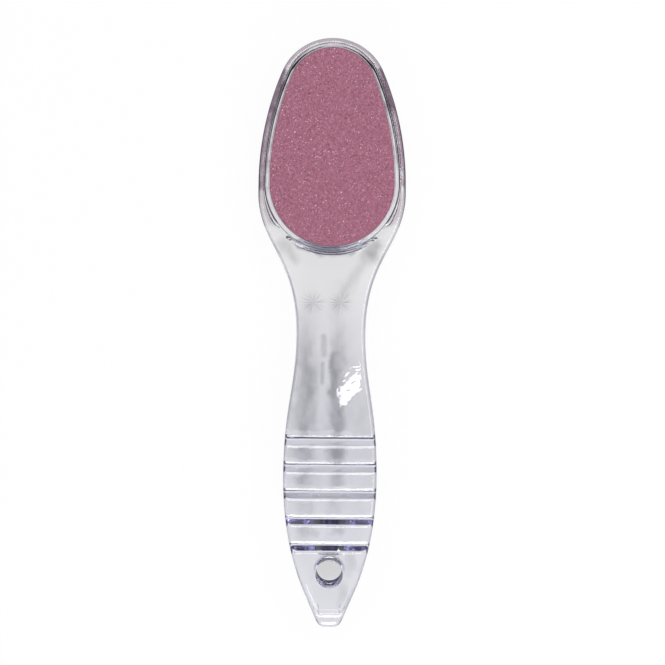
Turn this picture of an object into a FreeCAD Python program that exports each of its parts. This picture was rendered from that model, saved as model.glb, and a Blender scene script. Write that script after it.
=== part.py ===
import FreeCAD, Part
import math
import os

# Foot file: a clear moulded paddle with an abrasive pad bonded into a seat on each face.
# Millimetres. +Y runs along the file towards the head, +Z up through its thickness.
# The origin lies under the middle of the file, at the level of the grip's lowest point.

os.makedirs("parts", exist_ok=True)
Vector = FreeCAD.Vector

# Abrasive pad: an egg made of a round lower end, a smaller round crown and two long side arcs
PAD_WIDTH = 48.6
PAD_LENGTH = 77.2
PAD_CROWN_RADIUS = 17.0
ADHESIVE_THICKNESS = 0.15
BACKING_THICKNESS = 0.40
GRIT_THICKNESS = 0.35

# Head: seat, lip round the seat, drafted wall and rounded edge
SEAT_GAP = 0.3
SEAT_DEPTH = 0.5
LIP_WIDTH = 1.4
WALL_RUN = 0.3
SHELF_WIDTH = 0.2
PLATEAU_RISE = 1.2
EDGE_ROUND = 2.4
EDGE_LAND = 0.8

# Neck, grip and tail
SIDE_RUN = 2.8
NECK_WIDTH = 26.9
NECK_FROM_PAD = 34.4
GRIP_WIDTH = 36.3
GRIP_THICKNESS = 14.0
GRIP_FROM_NECK = 54.8
GRIP_CROWN = 1.2
TAIL_LENGTH = 58.9
TAIL_WIDTH = 10.7
TAIL_THICKNESS = 11.6
TAIL_CROWN = 0.9
TAIL_FLARE = 0.35
TIP_RUN = 3.4
TIP_FLAT = 3.6
TIP_TAPER = 7.0
TIP_THICKNESS = 6.4
HEAD_CROWN = 0.02

# Pulls of the side curves: how far each curve keeps the direction of its end
SHOULDER_PULL = 20.6
NECK_PULL = 30.6
WAIST_PULL = 20.2
HIP_PULL = 27.3
GRIP_PULL = 32.3
TAIL_PULL = 8.9
TIP_PULL = 2.0

# Grip ribs: the lands between grooves that cross both faces and follow their crown
GROOVE_COUNT = 5
GROOVE_PITCH = 10.3
LAST_GROOVE_FROM_TIP = 31.55

# Front grooves: shallow, with a flat floor and two short sloping walls
FRONT_GROOVE_FLOOR = 3.8
FRONT_GROOVE_DEPTH = 0.5
FRONT_WALL_RUN = 0.6

# Rear grooves: saw teeth, steep towards the head and with a long ramp towards the tail
REAR_GROOVE_FLOOR = 0.4
REAR_GROOVE_DEPTH = 1.95
REAR_STEEP_RUN = 1.0
REAR_RAMP_RUN = 3.0

# Hanging hole
HOLE_RADIUS = 5.15
HOLE_FROM_TIP = 21.3
HOLE_ROUND = 0.6

# Derived levels along the file
LIP_OFFSET = SEAT_GAP + LIP_WIDTH
FOOT_OFFSET = LIP_OFFSET + WALL_RUN
OUTLINE_OFFSET = FOOT_OFFSET + SHELF_WIDTH + EDGE_ROUND
LENGTH = OUTLINE_OFFSET + PAD_LENGTH + NECK_FROM_PAD + GRIP_FROM_NECK + TAIL_LENGTH
CROWN_Y = LENGTH / 2
PAD_TOP_Y = CROWN_Y - OUTLINE_OFFSET
PAD_FOOT_Y = PAD_TOP_Y - PAD_LENGTH
WIDEST_Y = PAD_FOOT_Y + PAD_WIDTH / 2
NECK_Y = PAD_FOOT_Y - NECK_FROM_PAD
GRIP_Y = NECK_Y - GRIP_FROM_NECK
TIP_Y = GRIP_Y - TAIL_LENGTH
TAIL_Y = TIP_Y + TIP_TAPER
HOLE_Y = TIP_Y + HOLE_FROM_TIP

# Derived levels through the thickness, measured from the middle plane
SLAB_HALF = EDGE_ROUND + EDGE_LAND / 2
PLATEAU_HALF = SLAB_HALF + PLATEAU_RISE
SEAT_HALF = PLATEAU_HALF - SEAT_DEPTH
MIDDLE_Z = GRIP_THICKNESS / 2

# Reach of cutting tools beyond the part, and sections that shape the crowned face
REACH = 6.0
SECTION_COUNT = 25


def egg_wire(offset, z):
    """Closed egg outline, grown outwards from the pad's edge by offset, at height z."""
    low = PAD_WIDTH / 2
    rise = PAD_TOP_Y - PAD_CROWN_RADIUS - WIDEST_Y
    step = low - PAD_CROWN_RADIUS
    side_centre = (rise ** 2 - step ** 2) / (2 * step)
    lean = math.atan2(rise, side_centre)
    low_radius = low + offset
    side_radius = side_centre + low + offset
    crown_radius = PAD_CROWN_RADIUS + offset
    crown_y = PAD_TOP_Y - PAD_CROWN_RADIUS

    def side_point(angle):
        x = side_radius * math.cos(angle) - side_centre
        return Vector(x, WIDEST_Y + side_radius * math.sin(angle), z)

    widest = side_point(0)
    middle = side_point(lean / 2)
    joint = side_point(lean)
    crown = Vector(0, crown_y + crown_radius, z)
    foot = Vector(0, WIDEST_Y - low_radius, z)
    edges = [
        Part.Arc(flipped(widest), foot, widest).toShape(),
        Part.Arc(widest, middle, joint).toShape(),
        Part.Arc(joint, crown, flipped(joint)).toShape(),
        Part.Arc(flipped(joint), flipped(middle), flipped(widest)).toShape(),
    ]
    return Part.Wire(edges)


def flipped(point):
    """The same point on the other side of the centre line."""
    return Vector(-point.x, point.y, point.z)


def cubic(start, start_pull, end_pull, end):
    """Cubic curve with its two inner poles given."""
    curve = Part.BezierCurve()
    curve.setPoles([start, start_pull, end_pull, end])
    return curve.toShape()


def side_edges(side):
    """Outline of one side, from the widest line of the head to the tip."""
    widest = Vector(side * (PAD_WIDTH / 2 + OUTLINE_OFFSET), WIDEST_Y, 0)
    shoulder = Vector(widest.x, WIDEST_Y - SIDE_RUN, 0)
    neck = Vector(side * NECK_WIDTH / 2, NECK_Y, 0)
    grip = Vector(side * GRIP_WIDTH / 2, GRIP_Y, 0)
    tail = Vector(side * TAIL_WIDTH / 2, TIP_Y + TIP_RUN, 0)
    tip = Vector(side * TIP_FLAT / 2, TIP_Y, 0)
    up = Vector(0, 1, 0)
    flare = Vector(side * TAIL_FLARE, 1, 0)
    outwards = Vector(side, 0, 0)
    return [
        Part.makeLine(widest, shoulder),
        cubic(shoulder, shoulder - up * SHOULDER_PULL, neck + up * NECK_PULL, neck),
        cubic(neck, neck - up * WAIST_PULL, grip + up * HIP_PULL, grip),
        cubic(grip, grip - up * GRIP_PULL, tail + flare * TAIL_PULL, tail),
        cubic(tail, tail - flare * TIP_PULL, tip + outwards * TIP_PULL, tip),
    ]


def outline_face():
    """Face bounded by the outline of the whole file."""
    head = egg_wire(OUTLINE_OFFSET, 0).Edges[1:]
    tip_right = Vector(TIP_FLAT / 2, TIP_Y, 0)
    flat = Part.makeLine(tip_right, flipped(tip_right))
    edges = head + side_edges(1) + side_edges(-1) + [flat]
    return Part.Face(Part.Wire(Part.__sortEdges__(edges)))


def eased(y, values):
    """Value at y between the shoulder, grip and tail values, easing in and out of each."""
    stations = [PAD_FOOT_Y - FOOT_OFFSET, GRIP_Y, TAIL_Y]
    if y >= stations[0]:
        return values[0]
    for index in range(len(stations) - 1):
        if y >= stations[index + 1]:
            share = (stations[index] - y) / (stations[index] - stations[index + 1])
            smooth = share * share * (3 - 2 * share)
            return values[index] + (values[index + 1] - values[index]) * smooth
    return values[-1]


def half_thickness(y):
    """Height of the top face above the middle plane on the centre line."""
    return eased(y, [SLAB_HALF, GRIP_THICKNESS / 2, TAIL_THICKNESS / 2])


def crown_radius(y):
    """Radius of the top face's crown, seen along the file."""
    fall = eased(y, [HEAD_CROWN, GRIP_CROWN, TAIL_CROWN])
    return ((GRIP_WIDTH / 2) ** 2 + fall ** 2) / (2 * fall)


def evenly(start, end, count):
    """A number of evenly spaced values from start to end."""
    return [start + (end - start) * index / (count - 1) for index in range(count)]


def crown_cutter():
    """Everything above the crowned top face."""
    reach_x = PAD_WIDTH / 2 + OUTLINE_OFFSET + REACH
    roof = GRIP_THICKNESS + REACH
    sections = []
    for y in evenly(CROWN_Y + REACH, TIP_Y - REACH, SECTION_COUNT):
        height = half_thickness(y)
        radius = crown_radius(y)
        edge_z = height - radius + math.sqrt(radius ** 2 - reach_x ** 2)
        right = Vector(reach_x, y, edge_z)
        roof_right = Vector(reach_x, y, roof)
        edges = [
            Part.Arc(flipped(right), Vector(0, y, height), right).toShape(),
            Part.makeLine(right, roof_right),
            Part.makeLine(roof_right, flipped(roof_right)),
            Part.makeLine(flipped(roof_right), flipped(right)),
        ]
        sections.append(Part.Wire(edges))
    return Part.makeLoft(sections, True, False)


def upside_down(shape):
    """The shape mirrored about the middle plane."""
    return shape.mirror(Vector(0, 0, 0), Vector(0, 0, 1))


def both_faces(shape):
    """The shape and its mirror image on the other face."""
    return [shape, upside_down(shape)]


def blank():
    """Crowned slab with the outline of the file and rounded edges."""
    half = GRIP_THICKNESS / 2 + REACH
    prism = outline_face().extrude(Vector(0, 0, 2 * half))
    prism.translate(Vector(0, 0, -half))
    slab = prism.cut(both_faces(crown_cutter()))
    rims = [edge for edge in slab.Edges if edge_is_rim(edge)]
    rounded = slab.makeFillet(EDGE_ROUND, rims)
    return rounded.cut(both_faces(tip_cutter()))


def edge_is_rim(edge):
    """True for the outline edges of the top and bottom faces, false for the upright ones."""
    start = edge.Vertexes[0].Point
    end = edge.Vertexes[-1].Point
    return start.z * end.z > 0


def tip_cutter():
    """Everything above the curve along which the tip grows thin."""
    start = Vector(-TAIL_WIDTH, TAIL_Y, TAIL_THICKNESS / 2)
    end = Vector(-TAIL_WIDTH, TIP_Y, TIP_THICKNESS / 2)
    pull = Vector(0, TIP_TAPER / 3, 0)
    beyond = end - Vector(0, REACH, 0)
    roof = Vector(0, 0, TAIL_THICKNESS)
    corners = [end, beyond, beyond + roof, start + roof, start]
    edges = [cubic(start, start - pull, end + pull, end)]
    edges += [Part.makeLine(a, b) for a, b in zip(corners, corners[1:])]
    return Part.Face(Part.Wire(edges)).extrude(Vector(2 * TAIL_WIDTH, 0, 0))


def groove_cutters(floor, depth, head_run, tail_run):
    """Cutters for one face's grooves: a trapezoid swept along the crown at each groove."""
    along = Vector(0, 1, 0)
    stretch = 1 + REACH / depth
    cutters = []
    for index in range(GROOVE_COUNT):
        y = TIP_Y + LAST_GROOVE_FROM_TIP + GROOVE_PITCH * index
        low_z = half_thickness(y) - depth
        high_z = low_z + depth * stretch
        corners = [
            Vector(0, y - floor / 2, low_z),
            Vector(0, y + floor / 2, low_z),
            Vector(0, y + floor / 2 + head_run * stretch, high_z),
            Vector(0, y - floor / 2 - tail_run * stretch, high_z),
        ]
        face = Part.Face(Part.makePolygon(corners + corners[:1]))
        radius = crown_radius(y)
        pivot = Vector(0, y, half_thickness(y) - radius)
        swing = math.degrees(math.asin((GRIP_WIDTH / 2 + REACH) / radius))
        face.rotate(pivot, along, -swing)
        cutters.append(face.revolve(pivot, along, 2 * swing))
    return cutters


def plateau():
    """Raised platform that holds the seat, with a drafted wall, on the top face."""
    foot = egg_wire(FOOT_OFFSET + WALL_RUN, SLAB_HALF - PLATEAU_RISE)
    lip = egg_wire(LIP_OFFSET, PLATEAU_HALF)
    return Part.makeLoft([foot, lip], True, True)


def plate(offset, low, high):
    """Egg-shaped plate between two heights."""
    face = Part.Face(egg_wire(offset, low))
    return face.extrude(Vector(0, 0, high - low))


def handle():
    """The whole clear moulding about its middle plane."""
    body = blank()
    body = body.fuse(both_faces(plateau()))
    seat = plate(SEAT_GAP, SEAT_HALF, PLATEAU_HALF + REACH)
    bore_half = GRIP_THICKNESS / 2 + REACH
    bore = Part.makeCylinder(HOLE_RADIUS, 2 * bore_half, Vector(0, HOLE_Y, -bore_half))
    front = groove_cutters(FRONT_GROOVE_FLOOR, FRONT_GROOVE_DEPTH, FRONT_WALL_RUN, FRONT_WALL_RUN)
    rear = groove_cutters(REAR_GROOVE_FLOOR, REAR_GROOVE_DEPTH, REAR_STEEP_RUN, REAR_RAMP_RUN)
    grooves = front + [upside_down(cutter) for cutter in rear]
    body = body.cut(both_faces(seat) + [bore] + grooves)
    mouths = [edge for edge in body.Edges if edge_is_mouth(edge)]
    return body.makeFillet(HOLE_ROUND, mouths)


def edge_is_mouth(edge):
    """True for the edges where the hanging hole opens into the faces."""
    box = edge.BoundBox
    inside = abs(box.Center.x) < HOLE_RADIUS and abs(box.Center.y - HOLE_Y) < HOLE_RADIUS
    return inside and box.YLength > HOLE_RADIUS


# Build the moulding and the two bonded pads, then lift everything so the grip stands on zero
top = SEAT_HALF
layers = []
for layer, thickness in [
    ("adhesive", ADHESIVE_THICKNESS),
    ("backing", BACKING_THICKNESS),
    ("grit_coat", GRIT_THICKNESS),
]:
    layers.append((layer, plate(0, top, top + thickness)))
    top += thickness

nodes = {"clear_handle": handle()}
for layer, shape in layers:
    nodes["front_" + layer] = shape
    nodes["rear_" + layer] = upside_down(shape)

for name, shape in nodes.items():
    shape.translate(Vector(0, 0, MIDDLE_Z))
    shape.exportStep("parts/" + name + ".step")
    print(name, "valid", shape.isValid(), "solids", len(shape.Solids), "volume", round(shape.Volume, 1))
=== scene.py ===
import math
import bmesh
import bpy
import numpy as np
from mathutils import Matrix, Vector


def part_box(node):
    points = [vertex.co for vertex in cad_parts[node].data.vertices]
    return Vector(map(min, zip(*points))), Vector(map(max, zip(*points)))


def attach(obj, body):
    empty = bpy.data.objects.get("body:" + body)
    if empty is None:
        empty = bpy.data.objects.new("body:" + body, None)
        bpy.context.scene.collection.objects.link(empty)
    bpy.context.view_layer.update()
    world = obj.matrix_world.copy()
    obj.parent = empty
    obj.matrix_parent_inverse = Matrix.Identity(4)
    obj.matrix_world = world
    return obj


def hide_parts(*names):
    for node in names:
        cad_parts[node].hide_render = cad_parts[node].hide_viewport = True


# %% [markdown]
# # A clear foot file
# The object is a paddle moulded in clear plastic, with a mauve abrasive pad bonded to each face of
# its head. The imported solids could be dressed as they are, but clear plastic shows every facet, so
# the moulding and the grains are made again here. The solids are loaded first, because they fix
# where each piece sits, in metres.

# %% Load the solids
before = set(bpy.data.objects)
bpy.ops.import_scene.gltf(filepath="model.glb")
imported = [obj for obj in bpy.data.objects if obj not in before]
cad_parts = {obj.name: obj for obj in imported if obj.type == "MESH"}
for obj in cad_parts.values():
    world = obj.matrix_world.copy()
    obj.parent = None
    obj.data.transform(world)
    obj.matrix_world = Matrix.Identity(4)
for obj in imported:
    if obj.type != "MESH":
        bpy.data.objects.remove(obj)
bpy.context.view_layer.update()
mm = 0.001


# %% [markdown]
# ## Camera
# The photograph looks straight down on the file. A far lens and a near one could give the same
# outline, but the wall of the hanging hole shows on one side, so the lens was near: about 360 mm
# above the middle of the thickness, where the picture is about 260 mm wide. The file lies turned by
# nearly half a degree, so the camera is rolled by that much.

# %% Camera above the file
middle_z = 7.0 * mm
lens_height = 360.0 * mm
picture_width = 260.5 * mm
camera_x, camera_y, camera_roll = 0.59 * mm, -0.26 * mm, math.radians(0.44)


def placed(name, data):
    """Puts a camera, lamp or mesh into the scene as an object."""
    piece = bpy.data.objects.new(name, data)
    bpy.context.scene.collection.objects.link(piece)
    return piece


camera_data = bpy.data.cameras.new("camera")
camera_data.sensor_width = 36.0
camera_data.lens = 36.0 * lens_height / picture_width
camera_data.clip_start = 0.01
camera = placed("camera", camera_data)
camera.location = (camera_x, camera_y, middle_z + lens_height)
camera.rotation_euler = (0.0, 0.0, camera_roll)
bpy.context.scene.camera = camera
print("lens", round(camera_data.lens, 2), "mm at", round(camera.location.z, 3), "m")

# %% [markdown]
# ## Helpers for node trees
# Materials and Geometry Nodes are boxes joined by wires. They could be drawn by hand in Blender's
# editor, but a script can be read and run again. A few short helpers keep the recipes below
# readable: one adds a box, one fills its inputs, and the others do arithmetic.


# %% Add and fill nodes
def add_node(tree, kind, **settings):
    node = tree.nodes.new(kind)
    for name, setting in settings.items():
        setattr(node, name, setting)
    return node


def feed(tree, socket, value):
    """Gives a socket a plain value, or a wire from another node."""
    if isinstance(value, bpy.types.NodeSocket):
        tree.links.new(value, socket)
    else:
        socket.default_value = value


def fill(tree, node, **values):
    """Feeds inputs by name, with underscores for spaces, and returns the node."""
    for name, value in values.items():
        feed(tree, node.inputs[name.replace("_", " ")], value)
    return node


def put(tree, kind, **values):
    """Adds a node that needs no settings and feeds its inputs."""
    return fill(tree, add_node(tree, kind), **values)


def new_material(name):
    material = bpy.data.materials.new(name)
    material.use_nodes = True
    material.node_tree.nodes.clear()
    return material, material.node_tree


print("helpers: add_node, feed, fill, put, new_material")


# %% Arithmetic with nodes
def calc(tree, operation, *values):
    node = add_node(tree, "ShaderNodeMath", operation=operation)
    for socket, value in zip(node.inputs, values):
        feed(tree, socket, value)
    return node.outputs[0]


def times(tree, a, b):
    return calc(tree, "MULTIPLY", a, b)


def minus(tree, a, b):
    return calc(tree, "SUBTRACT", a, b)


def larger(tree, a, b):
    return calc(tree, "MAXIMUM", a, b)


def smaller(tree, a, b):
    return calc(tree, "MINIMUM", a, b)


def vector_calc(tree, operation, *values):
    node = add_node(tree, "ShaderNodeVectorMath", operation=operation)
    for socket, value in zip(node.inputs, values):
        feed(tree, socket, value)
    single = operation in ("LENGTH", "DISTANCE", "DOT_PRODUCT")
    return node.outputs["Value" if single else "Vector"]


def scaled(tree, vector, size):
    node = add_node(tree, "ShaderNodeVectorMath", operation="SCALE")
    return fill(tree, node, Vector=vector, Scale=size).outputs["Vector"]


def parts(tree, vector):
    """The X, Y and Z of a vector."""
    node = add_node(tree, "ShaderNodeSeparateXYZ")
    feed(tree, node.inputs[0], vector)
    return node.outputs


def map_range(tree, value, span, result, easing="LINEAR"):
    """Carries a value from one span to another and stops at its ends."""
    node = add_node(tree, "ShaderNodeMapRange", interpolation_type=easing)
    fill(tree, node, Value=value, From_Min=span[0], From_Max=span[1], To_Min=result[0], To_Max=result[1])
    return node.outputs["Result"]


def noise(tree, where, scale, detail):
    node = add_node(tree, "ShaderNodeTexNoise")
    return fill(tree, node, Vector=where, Scale=scale, Detail=detail).outputs


print("helpers: calc and its short forms, vector_calc, scaled, parts, map_range, noise")

# %% [markdown]
# ## Floor
# The file lies on a white table. A floor that is equally white for every ray would leave clear
# plastic almost invisible, because all that it bends towards the eye would be white too. Round a
# real table there is a darker room, and its image in the edges draws a clear object. So the floor
# asks what kind of ray arrives. The camera sees white with a faint shadow. Rays through the plastic
# see a white sheet about as large as the file that fades outwards, and less of it after many
# bounces. The floor in the hanging hole is more matt, so the file's real shadow shows there, and for
# rays that come through or off the plastic it is darker still, a painted shadow.

# %% Table material
sheet_half, sheet_fade = (0.034, 0.110, 1.0), (0.9, 1.9)
far_white, deep_white = 0.12, 0.3
seen_white, through_white = 0.95, 0.8
matt_white, bounce_limit = 0.86, 2.5
hole_foot, hole_fade = (0.0, -93.65 * mm, 0.0), (5.0 * mm, 6.2 * mm)
hole_sheet, hole_seen, hole_through = 0.45, 0.55, 0.1


def table_material():
    material, tree = new_material("white_table")
    material.cycles.emission_sampling = "NONE"
    rays = add_node(tree, "ShaderNodeLightPath").outputs
    place = add_node(tree, "ShaderNodeNewGeometry").outputs["Position"]
    from_middle = vector_calc(tree, "LENGTH", vector_calc(tree, "DIVIDE", place, sheet_half))
    sheet = map_range(tree, from_middle, sheet_fade, (1.0, far_white), "SMOOTHSTEP")
    few_bounces = calc(tree, "LESS_THAN", rays["Ray Depth"], bounce_limit)
    sheet = times(tree, sheet, map_range(tree, few_bounces, (0.0, 1.0), (deep_white, 1.0)))
    from_hole = vector_calc(tree, "DISTANCE", place, hole_foot)

    # Inside the hanging hole: more matt, so the real shadow shows, and less white, a painted shadow.
    def less_in_hole(value, share):
        outside = map_range(tree, from_hole, hole_fade, (share, 1.0), "SMOOTHSTEP")
        return times(tree, value, outside)

    white = larger(tree, less_in_hole(sheet, hole_sheet), rays["Is Camera Ray"])
    seen = less_in_hole(times(tree, rays["Is Camera Ray"], seen_white), hole_seen)
    through = larger(tree, rays["Is Glossy Ray"], rays["Is Transmission Ray"])
    through = less_in_hole(times(tree, through, through_white), hole_through)
    matt = put(tree, "ShaderNodeBsdfDiffuse", Color=times(tree, white, matt_white))
    glow = put(tree, "ShaderNodeEmission", Strength=white)
    mix = put(tree, "ShaderNodeMixShader", Fac=larger(tree, seen, through))
    feed(tree, mix.inputs[1], matt.outputs[0])
    feed(tree, mix.inputs[2], glow.outputs[0])
    put(tree, "ShaderNodeOutputMaterial", Surface=mix.outputs[0])
    return material


print("white sheet", [round(2 * half, 3) for half in sheet_half[:2]], "m")

# %% Table top
reach = 30.0
floor_mesh = bpy.data.meshes.new("table")
corners = [(-reach, -reach, 0), (reach, -reach, 0), (reach, reach, 0), (-reach, reach, 0)]
floor_mesh.from_pydata(corners, [], [(0, 1, 2, 3)])
floor_mesh.materials.append(table_material())
floor = placed("table", floor_mesh)
print("table reaches", reach, "m each way")

# %% [markdown]
# ## Lamps
# One large soft lamp would light the pad well, but clear plastic mirrors its lamps, so each one here
# has its place for a reason. Strips at the right and left run along the flanks, and one beyond the
# tail lights the grip. A low strip beyond the tail and one beyond the crown stand where the walls of
# the grooves mirror them, which gives the white lines of the ribs. A small window panel gives the
# bright spot on the waist. The low strip and the window are hidden from rays inside the plastic,
# because their second images would shine there.


# %% Softboxes
def softbox(name, place, target, size, watts):
    data = bpy.data.lights.new(name, "AREA")
    data.shape = "RECTANGLE"
    data.size, data.size_y = size
    data.energy = watts
    lamp = placed(name, data)
    lamp.location = place
    aim = [t - p for t, p in zip(target, place)]
    tilt = math.atan2(math.hypot(aim[0], aim[1]), -aim[2])
    lamp.rotation_euler = (tilt, 0.0, math.atan2(aim[1], aim[0]) - math.pi / 2)
    print(name, watts, "W")
    return lamp


middle_spot, grip_spot = (0, 0, 0), (0, -0.06, 0)
softbox("right_strip", (0.75, 0.05, 0.62), middle_spot, (0.9, 0.24), 3.4)
softbox("left_strip", (-0.75, 0.05, 0.62), middle_spot, (0.9, 0.10), 0.9)
softbox("tail_strip", (0.0, -0.70, 0.70), grip_spot, (1.2, 0.12), 2.2)
low_strip = softbox("low_strip", (0.0, -0.97, 0.425), grip_spot, (1.6, 0.19), 8.5)
softbox("crown_strip", (0.0, 0.655, 0.71), grip_spot, (1.4, 0.19), 4.8)
window = softbox("window", (0.082, 0.031, 0.86), middle_spot, (0.045, 0.106), 0.18)
for lamp in (low_strip, window):
    lamp.visible_transmission = False

# %% [markdown]
# ## Room
# A studio picture could surround the object, but a plain room keeps the scene in one file. It is a
# grey that brightens towards the ceiling, and the camera sees it as white beyond the table. Light
# crosses many faces on its way through the plastic, so Cycles may follow it for more bounces.


# %% Room and bounces
def room():
    world = bpy.data.worlds.new("room")
    world.use_nodes = True
    tree = world.node_tree
    direction = parts(tree, add_node(tree, "ShaderNodeTexCoord").outputs["Generated"])
    grey = map_range(tree, direction["Z"], (0.0, 0.9), (0.04, 0.25), "SMOOTHSTEP")
    seen = add_node(tree, "ShaderNodeLightPath").outputs["Is Camera Ray"]
    fill(tree, tree.nodes["Background"], Color=(0.97, 0.98, 1.0, 1.0), Strength=larger(tree, grey, seen))
    return world


scene = bpy.context.scene
scene.world = room()
scene.view_settings.view_transform = "Standard"
scene.cycles.max_bounces = 24
scene.cycles.glossy_bounces = 16
scene.cycles.transmission_bounces = 20
print("room", scene.world.name, "bounces", scene.cycles.max_bounces)

# %% [markdown]
# ## Sizes of the moulding
# The clear body is one moulding: head, neck, ribbed grip and tail. The solid's own mesh could carry
# the material, but light bends at each facet of a clear piece, and its triangles would show. So the
# body is made again as one fine mesh from the solid's sizes. Three small things differ: the groove
# edges are softer, the foot of the raised head is hollowed, and the seat reaches a hair into the
# film, as a bond does.

# %% Sizes of head, neck, grip and tail in millimetres
pad_width, pad_length, pad_crown_radius = 48.6, 77.2, 17.0
seat_gap, seat_depth, lip_width, wall_run, shelf_width = 0.3, 0.5, 1.4, 0.3, 0.2
edge_round, edge_land, plateau_rise = 2.4, 0.8, 1.2
side_run, neck_width, neck_from_pad = 2.8, 26.9, 34.4
grip_width, grip_half, grip_from_neck = 36.3, 7.0, 54.8
tail_length, tail_width, tail_half, tail_flare = 58.9, 10.7, 5.8, 0.35
tip_run, tip_flat, tip_taper, tip_half = 3.4, 3.6, 7.0, 3.2
hole_radius, hole_round, hole_from_tip = 5.15, 0.6, 21.3
print("pad", pad_width, "by", pad_length, "mm, grip", grip_width, "mm wide")

# %% Lines along the file and heights about the middle plane
lip_offset = seat_gap + lip_width
foot_offset = lip_offset + wall_run
outline_offset = foot_offset + shelf_width + edge_round
file_length = outline_offset + pad_length + neck_from_pad + grip_from_neck + tail_length
pad_top_y = file_length / 2 - outline_offset
pad_foot_y = pad_top_y - pad_length
widest_y = pad_foot_y + pad_width / 2
neck_y = pad_foot_y - neck_from_pad
grip_y = neck_y - grip_from_neck
tip_y = grip_y - tail_length
tail_y = tip_y + tip_taper
hole_y = tip_y + hole_from_tip
slab_half = edge_round + edge_land / 2
plateau_half = slab_half + plateau_rise
seat_half = plateau_half - seat_depth
print("length", round(file_length, 1), "neck at", round(neck_y, 2), "hole at", round(hole_y, 2))

# %% [markdown]
# ## Egg
# The pad is an egg. A stretched circle would be quicker, but it doesn't grow evenly. Four arcs that
# meet without a kink do: every line round the head is the same egg grown outwards, and a point on
# it is named by the direction that it faces.

# %% Egg points by facing direction
low_radius = pad_width / 2
crown_centre_y = pad_top_y - pad_crown_radius
egg_rise = crown_centre_y - widest_y
egg_step = low_radius - pad_crown_radius
side_centre = (egg_rise ** 2 - egg_step ** 2) / (2 * egg_step)
lean = math.atan2(egg_rise, side_centre)


def egg_point(facing, offset):
    """Point of the egg, grown by offset, that faces this way in radians."""
    turn = facing % (2 * math.pi)
    if turn >= math.pi:
        centre_x, centre_y, radius = 0.0, widest_y, low_radius
    elif turn < lean:
        centre_x, centre_y, radius = -side_centre, widest_y, side_centre + low_radius
    elif turn > math.pi - lean:
        centre_x, centre_y, radius = side_centre, widest_y, side_centre + low_radius
    else:
        centre_x, centre_y, radius = 0.0, crown_centre_y, pad_crown_radius
    radius += offset
    return centre_x + radius * math.cos(turn), centre_y + radius * math.sin(turn)


def egg_facings(low_steps, side_steps, crown_steps):
    """Facing directions round the egg, from the left widest point and round below."""
    turns = [math.pi, 2 * math.pi, 2 * math.pi + lean, 3 * math.pi - lean, 3 * math.pi]
    steps = [low_steps, side_steps, crown_steps, side_steps]
    runs = zip(turns, turns[1:], steps)
    return np.concatenate([np.linspace(start, end, count + 1)[:-1] for start, end, count in runs])


print("egg from", round(egg_point(1.5 * math.pi, 0)[1], 2), "to", round(egg_point(0.5 * math.pi, 0)[1], 2))

# %% [markdown]
# ## Outline below the head
# Below the head the outline runs over shoulder, waist and hip to a blunt tip. Points joined by
# straight lines would show as facets, so it is made of cubic curves, each of which starts in the
# direction in which the last one ended. They are sampled finely once, and the half width and the
# outward direction are then looked up anywhere along the file.

# %% Curves of the right side
shoulder_pull, neck_pull, waist_pull, hip_pull = 20.6, 30.6, 20.2, 27.3
grip_pull, tail_pull, tip_pull = 32.3, 8.9, 2.0


def cubic(p0, p1, p2, p3, steps):
    t = np.linspace(0, 1, steps + 1)[:, None]
    p0, p1, p2, p3 = (np.array(p, float) for p in (p0, p1, p2, p3))
    return (1 - t) ** 3 * p0 + 3 * (1 - t) ** 2 * t * p1 + 3 * (1 - t) * t ** 2 * p2 + t ** 3 * p3


widest_x = low_radius + outline_offset
neck_x, grip_x, tail_x, tip_x = neck_width / 2, grip_width / 2, tail_width / 2, tip_flat / 2
shoulder_y = widest_y - side_run
shoulder = cubic((widest_x, shoulder_y), (widest_x, shoulder_y - shoulder_pull),
                 (neck_x, neck_y + neck_pull), (neck_x, neck_y), 400)
waist = cubic((neck_x, neck_y), (neck_x, neck_y - waist_pull),
              (grip_x, grip_y + hip_pull), (grip_x, grip_y), 400)
flare = np.array((tail_flare, 1.0))
tail_point = np.array((tail_x, tip_y + tip_run))
hip = cubic((grip_x, grip_y), (grip_x, grip_y - grip_pull), tail_point + tail_pull * flare, tail_point, 400)
corner = cubic(tail_point, tail_point - tip_pull * flare, (tip_x + tip_pull, tip_y), (tip_x, tip_y), 100)
print("curve points", len(shoulder) + len(waist) + len(hip) + len(corner))

# %% Half width and outward direction
straight = np.array([(widest_x, widest_y), (widest_x, widest_y - 1.0)])
side_line = np.vstack([straight, shoulder, waist[1:], hip[1:]])
side_slope = np.gradient(side_line[:, 0], side_line[:, 1])


def half_width(y):
    return float(np.interp(-y, -side_line[:, 1], side_line[:, 0]))


def outward(y):
    """Direction in which the right side faces at y."""
    slope = float(np.interp(-y, -side_line[:, 1], side_slope))
    size = math.hypot(1.0, slope)
    return 1.0 / size, -slope / size


print("half widths", [round(half_width(y), 2) for y in (40, 20, 0, -30, -60, -90, -105)])

# %% [markdown]
# ## Top face
# Seen from the side the file swells from the thin head to the grip and thins again to the tip.
# Across, it is crowned like a shallow barrel. It could be sculpted, but one rule that gives the
# height anywhere puts every later point exactly on the surface. At the foot of the raised head a
# small hollow is added, full towards the neck and fading at the sides.

# %% Swell and crown
crowns = [0.02, 1.2, 0.9, 0.6]
swell = [slab_half, grip_half, tail_half, tip_half]


def eased(y, values):
    """Value at y, easing from head to grip, tail and tip."""
    stations = [pad_foot_y - foot_offset, grip_y, tail_y, tip_y]
    if y >= stations[0]:
        return values[0]
    for i in range(3):
        if y >= stations[i + 1]:
            share = (stations[i] - y) / (stations[i] - stations[i + 1])
            return values[i] + (values[i + 1] - values[i]) * share * share * (3 - 2 * share)
    return values[-1]


def barrel_radius(y):
    fall = eased(y, crowns)
    return ((grip_width / 2) ** 2 + fall ** 2) / (2 * fall)


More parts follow.
